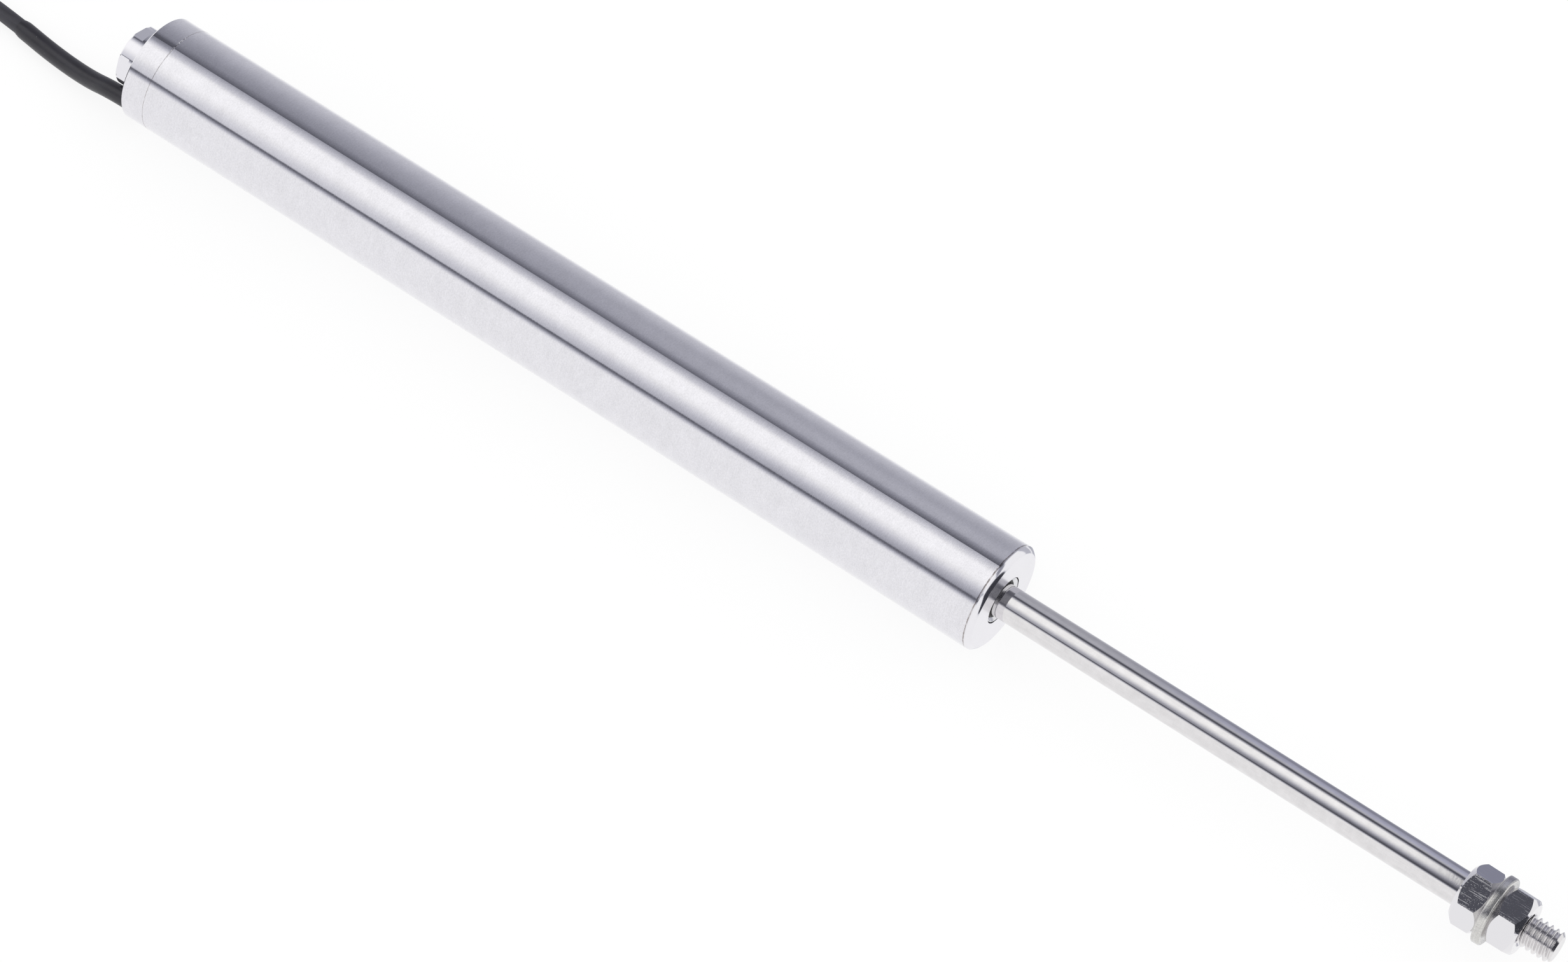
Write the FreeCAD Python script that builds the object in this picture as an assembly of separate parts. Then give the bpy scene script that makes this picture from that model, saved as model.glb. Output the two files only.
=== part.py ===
"""Linear variable differential transformer with a guided push rod and a free cable.

Millimetres. The origin is on the body axis, midway along the body. +X runs along the axis
towards the push rod's threaded end, +Z is up, and the body lies on the surface below it.
"""
import FreeCAD
import Part
import math
import os

Vector = FreeCAD.Vector

# Body
body_diameter = 20.6
tube_wall = 0.6
rear_cap_rim = 5.1
rear_cap_spigot = 3.4
rear_rim_chamfer = 0.25
front_cap_lip = 1.2
front_chamfer = 0.9
shrink_fit = 0.02

# Front bearing and bore
rod_diameter = 6.35
running_clearance = 0.03
bearing_film = 0.445
bearing_shell_wall = 0.9
bearing_slot = 0.05
bearing_length = 10.2
bearing_recess = 0.12
film_recess = 0.45
bearing_shoulder = 1.0
bore_tube_seat = 2.0
bore_tube_wall = 0.35
bore_plug_length = 2.5

# Moving train
rod_exposed = 93.4
outward_travel = 3.0
inward_travel = 58.0
stop_gap = 0.2
guide_width = 4.0
guide_proud = 0.675
guide_clearance = 0.05
guide_groove_depth = 0.55
guide_side_gap = 0.1
rod_inner_land = 2.0
stud_diameter = 3.0
stud_grip = 6.0
stud_collar_length = 4.0
stud_collar_wall = 1.1
core_length = 50.0
core_wall = 1.5
rear_guide_width = 3.0
lock_nut_height = 2.4
lock_nut_flats = 5.5
stud_end = 1.5

# Thread, nuts and washer on the push rod
thread_diameter = 5.96
thread_tip_chamfer = 0.45
nut_flats = 10.0
nut_height = 5.2
nut_face_inset = 0.38
nut_countersink = 0.35
nut_bore_gap = 0.02
rear_nut_turn = 80.5
front_nut_turn = 119.6
washer_thickness = 1.6
washer_diameter = 12.5
washer_hole = 6.4
washer_edge = 0.25
thread_beyond_nut = 5.95

# Windings
former_hub_wall = 0.6
former_fit = 0.05
flange_width = 2.0
primary_length = 40.0
winding_below_flange = 0.4
tape_thickness = 0.15
shield_wall = 0.5
shield_gap = 0.1
terminal_plate_width = 2.5
terminal_plate_setback = 1.3
former_end_gap = 0.3

# Electronics bay
board_length = 27.0
board_thickness = 1.2
board_edge_gap = 0.5
board_to_bore_tube = 3.3
carrier_wall = 1.0
carrier_ledge_depth = 1.2
carrier_ledge_height = 1.4
cable_end_to_board = 5.0
chip_sizes = ((7.0, 5.0, 1.6), (4.0, 5.0, 1.5))
chip_starts = (4.5, 14.5)
can_diameter = 4.0
can_height = 4.5
can_from_board_end = 6.0
can_spacing = 5.6
pin_diameter = 0.7
pins_each_side = 3
pin_overlap = 3.0
pin_margin = 0.4

# Rear plug
plug_collar_length = 2.8
plug_length = 5.1
plug_flat_count = 4
plug_flat_depth = 0.5
plug_flat_turn = 65.2
plug_chamfer = 0.3
plug_thread_step = 1.9
plug_thread_length = 7.0

# Cable
cable_diameter = 3.05
sleeve_wall = 0.23
sleeve_fit = 0.02
sleeve_length_outside = 31.4
cable_bore_gap = 0.05
cable_socket_depth = 4.4
cable_rim_wall = 0.72
cable_to_plug_gap = 0.12
cable_exit_turn = 214.7
ferrule_length = 2.8
ferrule_wall = 0.3
cable_inner_end = 0.2
arc_share = 0.45

# Put-away coil of cable
coil_bend_radius = 7.8
coil_straight = 46.6
coil_columns = 4
coil_layers = 4
coil_behind_body = 89.3
coil_beside_axis = 5.2
tie_width = 3.6
tie_thickness = 0.6
tie_head = (4.4, 5.0, 3.2)

# Stripped end of the cable
lead_diameter = 0.8
lead_ring_radius = 0.58
lead_ring_drop = 0.25
lead_tip_length = 5.0
lead_tip_diameter = 0.5
screen_diameter = 0.7
screen_rise = 0.85
wire_diameter = 0.6
wire_pitch = 1.4
wire_straight = 2.0
lead_start_gap = 0.22

# Radii that follow
body_radius = body_diameter / 2
tube_bore = body_radius - tube_wall
rod_radius = rod_diameter / 2
film_radius = rod_radius + running_clearance
shell_inner_radius = film_radius + bearing_film
shell_radius = shell_inner_radius + bearing_shell_wall
bearing_bore = shell_radius + bearing_slot
guide_radius = rod_radius + guide_proud
bore_radius = guide_radius + guide_clearance
bore_tube_radius = bore_radius + bore_tube_wall
groove_radius = rod_radius - guide_groove_depth
stud_radius = stud_diameter / 2
core_radius = stud_radius + core_wall
thread_radius = thread_diameter / 2
shield_radius = tube_bore - shield_gap
shield_bore = shield_radius - shield_wall
flange_radius = shield_bore - former_fit - tape_thickness
hub_bore = bore_tube_radius + former_fit
hub_radius = hub_bore + former_hub_wall
winding_radius = flange_radius - winding_below_flange
carrier_radius = tube_bore - shield_gap
carrier_bore = carrier_radius - carrier_wall
cable_radius = cable_diameter / 2
sleeve_bore = cable_radius + sleeve_fit
sleeve_radius = sleeve_bore + sleeve_wall
cable_bore = sleeve_radius + cable_bore_gap
cable_exit_radius = body_radius - cable_rim_wall - cable_bore
plug_radius = cable_exit_radius - sleeve_radius - cable_to_plug_gap
plug_thread_radius = plug_radius - plug_thread_step
lead_radius = lead_diameter / 2

# Places along the axis, from the front backwards, counted from the front face
bearing_rear = -bearing_length
bore_tube_front = bearing_rear - bearing_shoulder
spigot_rear = bore_tube_front - bore_tube_seat
guide_front = bearing_rear - outward_travel - stop_gap
guide_rear = guide_front - guide_width
rod_rear = guide_rear - rod_inner_land
core_front = rod_rear - stud_collar_length
core_rear = core_front - core_length
rear_guide_front = core_rear - guide_side_gap
rear_guide_rear = rear_guide_front - rear_guide_width
lock_nut_front = rear_guide_rear - guide_side_gap
lock_nut_rear = lock_nut_front - lock_nut_height
stud_rear = lock_nut_rear - stud_end
bore_plug_front = stud_rear - inward_travel - stop_gap
bore_tube_rear = bore_plug_front - bore_plug_length
plate_rear = bore_tube_rear + terminal_plate_setback
plate_front = plate_rear + terminal_plate_width
former_front = spigot_rear - former_end_gap
board_front = bore_tube_rear - board_to_bore_tube
board_rear = board_front - board_length
cable_end = board_rear - cable_end_to_board
cap_inner_face = cable_end - cable_inner_end - ferrule_length
rear_cap_front = cap_inner_face - rear_cap_spigot
body_length = rear_cap_rim - rear_cap_front

# The same places in the part's frame
front_face = body_length / 2
rear_face = front_face - body_length
nut_start = front_face + rod_exposed
washer_start = nut_start + nut_height
front_nut_start = washer_start + washer_thickness
thread_end = front_nut_start + nut_height + thread_beyond_nut
floor = -body_radius
cable_floor = floor + cable_radius
exit_y = cable_exit_radius * math.cos(math.radians(cable_exit_turn))
exit_z = cable_exit_radius * math.sin(math.radians(cable_exit_turn))
coil_x = rear_face - coil_behind_body
coil_y = -coil_beside_axis
coil_pitch = cable_diameter
coil_layer_pitch = coil_pitch * math.sin(math.radians(60))
coil_half_width = coil_pitch * (coil_columns - 1) / 2 + cable_radius
coil_height = coil_layer_pitch * (coil_layers - 1) + cable_diameter
coil_inlet_radius = coil_bend_radius + coil_pitch * (coil_columns - 1) / 2
coil_outlet_radius = coil_inlet_radius - coil_pitch / 2
coil_top_turn = cable_floor + coil_layer_pitch * (coil_layers - 1)

ORIGIN = Vector(0, 0, 0)
X_AXIS = Vector(1, 0, 0)
Z_AXIS = Vector(0, 0, 1)
FULL_TURN = 360.0
HEX_SIDES = 6

# The cable's route, from its end inside the body, out of the rear face and down to the coil
cable_route = (
    (front_face + cable_end, exit_y, exit_z),
    (rear_face - 5.5, exit_y, exit_z),
    (rear_face - 22.0, -4.85, cable_floor + 0.83),
    (rear_face - 36.5, -2.2, cable_floor),
    (rear_face - 45.5, -0.9, cable_floor),
    (rear_face - 57.0, coil_y + coil_inlet_radius, cable_floor),
    (rear_face - 68.0, coil_y + coil_inlet_radius, cable_floor),
)

# The cable's last stretch, off the top of the coil and down to the surface, from the coil's middle
tail_route = (
    (-26.3, coil_outlet_radius, coil_top_turn + 0.45),
    (-33.5, 10.7, coil_top_turn + 1.0),
    (-42.6, 9.6, coil_top_turn - 3.2),
    (-50.6, 7.6, cable_floor + 0.28),
    (-58.4, 4.4, cable_floor),
)

# The stripped conductors, from the middle of the jacket's end: two leave low, two above them
ring_side = lead_ring_radius * math.cos(math.radians(45))
ring_low = -ring_side - lead_ring_drop
ring_high = ring_side - lead_ring_drop
on_floor = lead_radius - cable_radius
lead_routes = {
    "white": (
        (0, -ring_side, ring_low),
        (7.5, -1.1, on_floor),
        (16.0, -2.3, on_floor),
        (24.0, -2.9, on_floor),
    ),
    "green": (
        (0, ring_side, ring_low),
        (7.8, 1.0, on_floor),
        (16.2, 2.9, on_floor),
        (24.2, 3.2, on_floor),
    ),
    "red": (
        (0, -ring_side, ring_high),
        (6.5, -2.1, ring_high - 0.25),
        (14.5, -5.6, on_floor),
        (22.0, -8.6, on_floor),
    ),
    "blue": (
        (0, ring_side, ring_high),
        (6.3, 1.9, ring_high - 0.2),
        (14.4, 6.2, on_floor),
        (21.6, 7.6, on_floor),
    ),
}
screen_route = (
    (0, 0, screen_rise),
    (4.2, 1.9, screen_rise + 0.2),
    (8.6, 7.2, screen_diameter / 2 - cable_radius + 0.5),
    (13.4, 10.6, screen_diameter / 2 - cable_radius),
)


def turned(points):
    """A solid turned about the X axis, from its (x, radius) corners."""
    corners = [Vector(x, 0, radius) for x, radius in points]
    face = Part.Face(Part.makePolygon(corners + corners[:1]))
    return face.revolve(ORIGIN, X_AXIS, FULL_TURN)


def tube(start, end, radius, bore):
    """A plain tube along X."""
    return turned(((start, bore), (end, bore), (end, radius), (start, radius)))


def rod(start, end, radius):
    """A plain round bar along X."""
    return Part.makeCylinder(radius, end - start, Vector(start, 0, 0), X_AXIS)


def hexagon(start, end, flats, corner_turn):
    """A hexagonal bar along X, with a corner at the given angle from +Y."""
    corner_radius = flats / 2 / math.cos(math.radians(30))
    step = FULL_TURN / HEX_SIDES
    angles = [math.radians(corner_turn + step * side) for side in range(HEX_SIDES)]
    corners = [
        Vector(start, corner_radius * math.cos(a), corner_radius * math.sin(a)) for a in angles
    ]
    face = Part.Face(Part.makePolygon(corners + corners[:1]))
    return face.extrude(X_AXIS * (end - start))


def box(low, high):
    """A block between two corners."""
    size = Vector(*high) - Vector(*low)
    return Part.makeBox(size.x, size.y, size.z, Vector(*low))


def rounded_path(points):
    """Straight runs joined by tangent arcs, as edges, with the arcs' radii."""
    corners = [Vector(*point) for point in points]
    edges = []
    radii = []
    start = corners[0]
    for before, corner, after in zip(corners, corners[1:], corners[2:]):
        back = (before - corner).normalize()
        ahead = (after - corner).normalize()
        half_turn = (math.pi - back.getAngle(ahead)) / 2
        cut = arc_share * min(before.distanceToPoint(corner), after.distanceToPoint(corner))
        radius = cut / math.tan(half_turn)
        inward = (back + ahead).normalize()
        arc_start = corner + back * cut
        arc_middle = corner + inward * (radius / math.cos(half_turn) - radius)
        arc_end = corner + ahead * cut
        edges.append(Part.LineSegment(start, arc_start).toShape())
        edges.append(Part.Arc(arc_start, arc_middle, arc_end).toShape())
        radii.append(radius)
        start = arc_end
    edges.append(Part.LineSegment(start, corners[-1]).toShape())
    return edges, radii


def swept(edges, radius):
    """A round solid swept along tangent edges."""
    path = Part.Wire(edges)
    heading = edges[0].tangentAt(edges[0].FirstParameter)
    start = edges[0].valueAt(edges[0].FirstParameter)
    section = Part.Wire(Part.makeCircle(radius, start, heading))
    return path.makePipeShell([section], True, False)


def grouped(solids):
    """Separate solids kept in one shape."""
    return Part.makeCompound(solids)


# Housing

def outer_tube():
    start = rear_face + rear_cap_rim
    end = front_face - front_cap_lip
    return tube(start, end, body_radius, tube_bore)


def rear_end_cap():
    inner = front_face + cap_inner_face
    spigot_radius = tube_bore - shrink_fit
    cap = turned((
        (rear_face, 0),
        (rear_face, body_radius - rear_rim_chamfer),
        (rear_face + rear_rim_chamfer, body_radius),
        (rear_face + rear_cap_rim, body_radius),
        (rear_face + rear_cap_rim, spigot_radius),
        (inner, spigot_radius),
        (inner, 0),
    ))
    plug_hole = rod(rear_face, rear_face + plug_thread_length, plug_thread_radius)
    mouth = Vector(rear_face, exit_y, exit_z)
    socket = Part.makeCylinder(cable_bore, cable_socket_depth, mouth, X_AXIS)
    passage = Part.makeCylinder(sleeve_bore, inner - rear_face, mouth, X_AXIS)
    return cap.cut(plug_hole).cut(socket).cut(passage)


def front_end_cap():
    spigot_radius = tube_bore - shrink_fit
    return turned((
        (front_face, bearing_bore),
        (front_face, body_radius - front_chamfer),
        (front_face - front_chamfer, body_radius),
        (front_face - front_cap_lip, body_radius),
        (front_face - front_cap_lip, spigot_radius),
        (front_face + spigot_rear, spigot_radius),
        (front_face + spigot_rear, bore_tube_radius),
        (front_face + bore_tube_front, bore_tube_radius),
        (front_face + bore_tube_front, bore_radius),
        (front_face + bearing_rear, bore_radius),
        (front_face + bearing_rear, bearing_bore),
    ))


def bearing_shell():
    start = front_face + bearing_rear
    end = front_face - bearing_recess
    return tube(start, end, shell_radius, shell_inner_radius)


def bearing_liner():
    start = front_face + bearing_rear
    end = front_face - film_recess
    lead_in = bearing_film / 2
    return turned((
        (start, film_radius),
        (end - lead_in, film_radius),
        (end, film_radius + lead_in),
        (end, shell_inner_radius),
        (start, shell_inner_radius),
    ))


def rear_plug():
    collar_end = rear_face - plug_collar_length
    outer_end = rear_face - plug_length
    plug = turned((
        (outer_end, 0),
        (outer_end, plug_radius - plug_chamfer),
        (outer_end + plug_chamfer, plug_radius),
        (rear_face, plug_radius),
        (rear_face, plug_thread_radius),
        (rear_face + plug_thread_length, plug_thread_radius),
        (rear_face + plug_thread_length, 0),
    ))
    for side in range(plug_flat_count):
        cutter = box(
            (outer_end - plug_chamfer, plug_radius - plug_flat_depth, -plug_radius),
            (collar_end, plug_radius * 2, plug_radius),
        )
        cutter.rotate(ORIGIN, X_AXIS, plug_flat_turn + side * FULL_TURN / plug_flat_count)
        plug = plug.cut(cutter)
    return plug


def cable_ferrule():
    start = Vector(front_face + cap_inner_face, exit_y, exit_z)
    outside = Part.makeCylinder(cable_radius + ferrule_wall, ferrule_length, start, X_AXIS)
    inside = Part.makeCylinder(cable_radius, ferrule_length, start, X_AXIS)
    return outside.cut(inside)


# Windings and bore

def bore_tube():
    return tube(front_face + bore_tube_rear, front_face + bore_tube_front, bore_tube_radius, bore_radius)


def bore_plug():
    return rod(front_face + bore_tube_rear, front_face + bore_plug_front, bore_radius)


def winding_spans():
    """Start and end of the rear secondary, the primary and the front secondary."""
    start = front_face + plate_front
    end = front_face + former_front
    secondary = (end - start - primary_length) / 2 - flange_width * 2
    spans = []
    here = start + flange_width
    for length in (secondary, primary_length, secondary):
        spans.append((here, here + length))
        here = here + length + flange_width
    return spans


def coil_former():
    start = front_face + plate_front
    end = front_face + former_front
    former = tube(start, end, flange_radius, hub_bore)
    for low, high in winding_spans():
        former = former.cut(tube(low, high, flange_radius * 2, hub_radius))
    return former


def winding(number):
    low, high = winding_spans()[number]
    return tube(low, high, winding_radius, hub_radius)


def winding_tape():
    start = front_face + plate_front
    end = front_face + former_front
    return tube(start, end, flange_radius + tape_thickness, flange_radius)


def magnetic_shield():
    start = front_face + plate_front
    end = front_face + former_front
    return tube(start, end, shield_radius, shield_bore)


def pin_places():
    """Y and Z of each terminal pin, on the board's upper face beside the bore tube."""
    board_half = carrier_bore - board_edge_gap
    pin_radius = pin_diameter / 2
    nearest = bore_tube_radius + pin_radius + pin_margin
    farthest = board_half - pin_radius - pin_margin
    step = (farthest - nearest) / (pins_each_side - 1)
    return [
        (side * (nearest + step * number), board_thickness + pin_radius)
        for side in (-1, 1)
        for number in range(pins_each_side)
    ]


def pin_solid(start, end, place):
    y, z = place
    return Part.makeCylinder(pin_diameter / 2, end - start, Vector(start, y, z), X_AXIS)


def terminal_plate():
    start = front_face + plate_rear
    end = front_face + plate_front
    plate = tube(start, end, shield_radius, bore_tube_radius)
    for place in pin_places():
        plate = plate.cut(pin_solid(start, end, place))
    return plate


def terminal_pins():
    start = front_face + board_front - pin_overlap
    end = front_face + plate_front
    return grouped([pin_solid(start, end, place) for place in pin_places()])


# Electronics bay

def board_carrier():
    start = front_face + board_rear
    end = front_face + board_front
    shell = tube(start, end, carrier_radius, carrier_bore)
    ledge_blank = rod(start, end, carrier_bore)
    middle = box(
        (start, carrier_ledge_depth - carrier_bore, -carrier_radius),
        (end, carrier_bore - carrier_ledge_depth, carrier_radius),
    )
    below = box(
        (start, -carrier_radius, -carrier_radius),
        (end, carrier_radius, -carrier_ledge_height),
    )
    ledges = ledge_blank.cut(middle).cut(below)
    upper_half = box(
        (start, -carrier_radius, 0),
        (end, carrier_radius, carrier_radius),
    )
    return shell.fuse(ledges).cut(upper_half).removeSplitter()


def circuit_board():
    half = carrier_bore - board_edge_gap
    return box(
        (front_face + board_rear, -half, 0),
        (front_face + board_front, half, board_thickness),
    )


def board_chips():
    chips = []
    for (length, width, height), offset in zip(chip_sizes, chip_starts):
        start = front_face + board_rear + offset
        chips.append(box(
            (start, -width / 2, board_thickness),
            (start + length, width / 2, board_thickness + height),
        ))
    return grouped(chips)


def board_capacitors():
    x = front_face + board_front - can_from_board_end
    cans = [
        Part.makeCylinder(
            can_diameter / 2, can_height, Vector(x, side * can_spacing / 2, board_thickness)
        )
        for side in (-1, 1)
    ]
    return grouped(cans)


def inner_wires():
    """The cable's conductors, from its inner end up to the board's rear edge."""
    wires = []
    start = front_face + cable_end
    wire_radius = wire_diameter / 2
    end = front_face + board_rear - wire_radius
    for number, (across, up) in enumerate(((-1, 1), (-1, -1), (1, -1), (1, 1))):
        y = exit_y + across * lead_ring_radius
        z = exit_z + up * lead_ring_radius
        route = (
            (start, y, z),
            (start + wire_straight, y, z),
            (end, exit_y + (number - 0.5) * wire_pitch, board_thickness / 2),
        )
        edges, _ = rounded_path(route)
        wires.append(swept(edges, wire_radius))
    return grouped(wires)


# Moving train

def push_rod():
    blind_end = front_face + rod_rear + stud_grip
    rear = front_face + rod_rear
    groove_start = front_face + guide_rear - guide_side_gap
    groove_end = front_face + guide_front + guide_side_gap
    return turned((
        (rear, stud_radius),
        (rear, rod_radius),
        (groove_start, rod_radius),
        (groove_start, groove_radius),
        (groove_end, groove_radius),
        (groove_end, rod_radius),
        (nut_start, rod_radius),
        (nut_start, thread_radius),
        (thread_end - thread_tip_chamfer, thread_radius),
        (thread_end, thread_radius - thread_tip_chamfer),
        (thread_end, 0),
        (blind_end, 0),
        (blind_end, stud_radius),
    ))


def core_stud():
    collar_radius = stud_radius + stud_collar_wall
    return turned((
        (front_face + stud_rear, 0),
        (front_face + stud_rear, stud_radius),
        (front_face + core_front, stud_radius),
        (front_face + core_front, collar_radius),
        (front_face + rod_rear, collar_radius),
        (front_face + rod_rear, stud_radius),
        (front_face + rod_rear + stud_grip, stud_radius),
        (front_face + rod_rear + stud_grip, 0),
    ))


def core():
    return tube(front_face + core_rear, front_face + core_front, core_radius, stud_radius)


def front_guide_ring():
    inner = groove_radius + running_clearance
    return tube(front_face + guide_rear, front_face + guide_front, guide_radius, inner)


def rear_guide_ring():
    inner = stud_radius + running_clearance
    return tube(front_face + rear_guide_rear, front_face + rear_guide_front, guide_radius, inner)


def core_lock_nut():
    start = front_face + lock_nut_rear
    end = front_face + lock_nut_front
    return hexagon(start, end, lock_nut_flats, 0).cut(rod(start, end, stud_radius))


# Nuts and washer

def nut(start, corner_turn):
    """A hexagon nut with bevelled corners and a countersunk thread on both faces."""
    end = start + nut_height
    corner_radius = nut_flats / 2 / math.cos(math.radians(30))
    face_radius = nut_flats / 2 - nut_face_inset
    bevel = corner_radius - face_radius
    bore = thread_radius + nut_bore_gap
    blank = turned((
        (start, bore + nut_countersink),
        (start, face_radius),
        (start + bevel, corner_radius),
        (end - bevel, corner_radius),
        (end, face_radius),
        (end, bore + nut_countersink),
        (end - nut_countersink, bore),
        (start + nut_countersink, bore),
    ))
    return blank.common(hexagon(start, end, nut_flats, corner_turn))


def rear_nut():
    return nut(nut_start, rear_nut_turn)


def front_nut():
    return nut(front_nut_start, front_nut_turn)


def washer():
    """A plain washer with broken edges, which hangs on the thread by the play in its hole."""
    end = washer_start + washer_thickness
    rim = washer_diameter / 2
    hole = washer_hole / 2
    ring = turned((
        (washer_start, hole),
        (washer_start, rim - washer_edge),
        (washer_start + washer_edge, rim),
        (end - washer_edge, rim),
        (end, rim - washer_edge),
        (end, hole),
    ))
    play = hole - thread_radius - nut_bore_gap
    ring.translate(Z_AXIS * -play)
    return ring


# Cable

def cable():
    edges, radii = rounded_path(cable_route)
    solid = swept(edges, cable_radius)
    report("cable", solid, edges, radii)
    return solid


def cable_sleeve():
    """Shrunk sleeve over the cable, from inside the rear cap to its end on the surface."""
    edges, _ = rounded_path(cable_route)
    outside = swept(edges, sleeve_radius)
    inside = swept(edges, sleeve_bore)
    keep = box(
        (rear_face - sleeve_length_outside, -body_diameter, -body_diameter),
        (rear_face + cable_socket_depth, body_diameter, body_diameter),
    )
    return outside.common(keep).cut(inside)


def cable_tail():
    edges, radii = rounded_path(tail_route)
    solid = swept(edges, cable_radius)
    report("cable_tail", solid, edges, radii)
    solid.translate(Vector(coil_x, coil_y, 0))
    return solid


def report(name, solid, edges, radii):
    """Prints a cord's bend radii, and its volume beside section times length."""
    length = sum(edge.Length for edge in edges)
    expected = math.pi * cable_radius ** 2 * length
    print(name, "length", round(length, 2), "radii", [round(radius, 1) for radius in radii])
    print(name, "volume", round(solid.Volume, 2), "expected", round(expected, 2))


def bundle_section(low, high, inset):
    """A section with cut corners and the coil's height, drawn in smaller by an inset."""
    left = low + inset
    right = high - inset
    bottom = floor + inset
    top = floor + coil_height - inset
    corner = cable_radius
    points = (
        (left + corner, bottom),
        (right - corner, bottom),
        (right, bottom + corner),
        (right, top - corner),
        (right - corner, top),
        (left + corner, top),
        (left, top - corner),
        (left, bottom + corner),
    )
    corners = [Vector(0, y, z) for y, z in points]
    return Part.Face(Part.makePolygon(corners + corners[:1]))


def half_coil():
    """One straight side of the wound bundle, and the bend at its front end."""
    middle = -coil_bend_radius
    section = bundle_section(middle - coil_half_width, middle + coil_half_width, 0)
    bend = section.revolve(ORIGIN, Z_AXIS, FULL_TURN / 2)
    bend.translate(X_AXIS * (coil_straight / 2))
    side = section.extrude(X_AXIS * coil_straight)
    side.translate(X_AXIS * (-coil_straight / 2))
    return side.fuse(bend)


def tie_band():
    """The tie's band, round both sides of the coil at its middle."""
    reach = coil_bend_radius + coil_half_width
    frame = bundle_section(-reach, reach, 0).cut(bundle_section(-reach, reach, tie_thickness)).Faces[0]
    band = frame.extrude(X_AXIS * tie_width)
    band.translate(X_AXIS * (-tie_width / 2))
    return band


def cable_coil():
    """The wound bundle's outer shape, pinched where the tie grips it."""
    half = half_coil()
    other = half.copy()
    other.rotate(ORIGIN, Z_AXIS, FULL_TURN / 2)
    bundle = half.fuse(other).removeSplitter().cut(tie_band())
    bundle.translate(Vector(coil_x, coil_y, 0))
    return bundle


def coil_tie():
    """A nylon tie round the bundle, with its head on top of the near side."""
    length, width, height = tie_head
    base = floor + coil_height - tie_thickness
    head = box(
        (-length / 2, -coil_bend_radius - width / 2, base),
        (length / 2, -coil_bend_radius + width / 2, base + height),
    )
    head = head.makeChamfer(tie_thickness / 2, head.Edges)
    tie = tie_band().fuse(head)
    tie.translate(Vector(coil_x, coil_y, 0))
    return tie.cut(cable_coil()).removeSplitter()


def from_cable_end(route):
    """A route given from the middle of the jacket's end and along its heading, in the coil's frame."""
    before, end = [Vector(*point) for point in tail_route[-2:]]
    heading = end - before
    turn = FreeCAD.Rotation(Z_AXIS, math.degrees(math.atan2(heading.y, heading.x)))
    return [end + turn * Vector(along + lead_start_gap, across, up) for along, across, up in route]


def lead(colour):
    edges, _ = rounded_path(from_cable_end(lead_routes[colour]))
    solid = swept(edges, lead_radius)
    solid.translate(Vector(coil_x, coil_y, 0))
    return solid


def lead_tips():
    """The bare ends of the four conductors."""
    tips = []
    for route in lead_routes.values():
        before, end = from_cable_end(route[-2:])
        heading = (end - before).normalize()
        start = end + Vector(coil_x, coil_y, 0)
        tips.append(Part.makeCylinder(lead_tip_diameter / 2, lead_tip_length, start, heading))
    return grouped(tips)


def screen_tail():
    """The cable's screen, twisted into a tail that lies beside the leads."""
    edges, _ = rounded_path(from_cable_end(screen_route))
    solid = swept(edges, screen_diameter / 2)
    solid.translate(Vector(coil_x, coil_y, 0))
    return solid


NODES = {
    "outer_tube": outer_tube,
    "rear_end_cap": rear_end_cap,
    "front_end_cap": front_end_cap,
    "bearing_shell": bearing_shell,
    "bearing_liner": bearing_liner,
    "rear_plug": rear_plug,
    "cable_ferrule": cable_ferrule,
    "bore_tube": bore_tube,
    "bore_plug": bore_plug,
    "coil_former": coil_former,
    "rear_secondary_winding": lambda: winding(0),
    "primary_winding": lambda: winding(1),
    "front_secondary_winding": lambda: winding(2),
    "winding_tape": winding_tape,
    "magnetic_shield": magnetic_shield,
    "terminal_plate": terminal_plate,
    "terminal_pins": terminal_pins,
    "board_carrier": board_carrier,
    "circuit_board": circuit_board,
    "board_chips": board_chips,
    "board_capacitors": board_capacitors,
    "inner_wires": inner_wires,
    "push_rod": push_rod,
    "core_stud": core_stud,
    "core": core,
    "front_guide_ring": front_guide_ring,
    "rear_guide_ring": rear_guide_ring,
    "core_lock_nut": core_lock_nut,
    "rear_nut": rear_nut,
    "washer": washer,
    "front_nut": front_nut,
    "cable": cable,
    "cable_sleeve": cable_sleeve,
    "cable_coil": cable_coil,
    "coil_tie": coil_tie,
    "cable_tail": cable_tail,
    "lead_tips": lead_tips,
    "screen_tail": screen_tail,
}
for colour in lead_routes:
    NODES["lead_" + colour] = lambda colour=colour: lead(colour)

os.makedirs("parts", exist_ok=True)
print("body length", round(body_length, 3))
for name, make in NODES.items():
    make().exportStep("parts/" + name + ".step")
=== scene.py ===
"""Linear variable differential transformer: its finishes, thread, cable and studio."""
import math

import bmesh
import bpy
from bpy.props import FloatProperty, FloatVectorProperty, IntProperty, PointerProperty
from mathutils import Matrix, Vector


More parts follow.
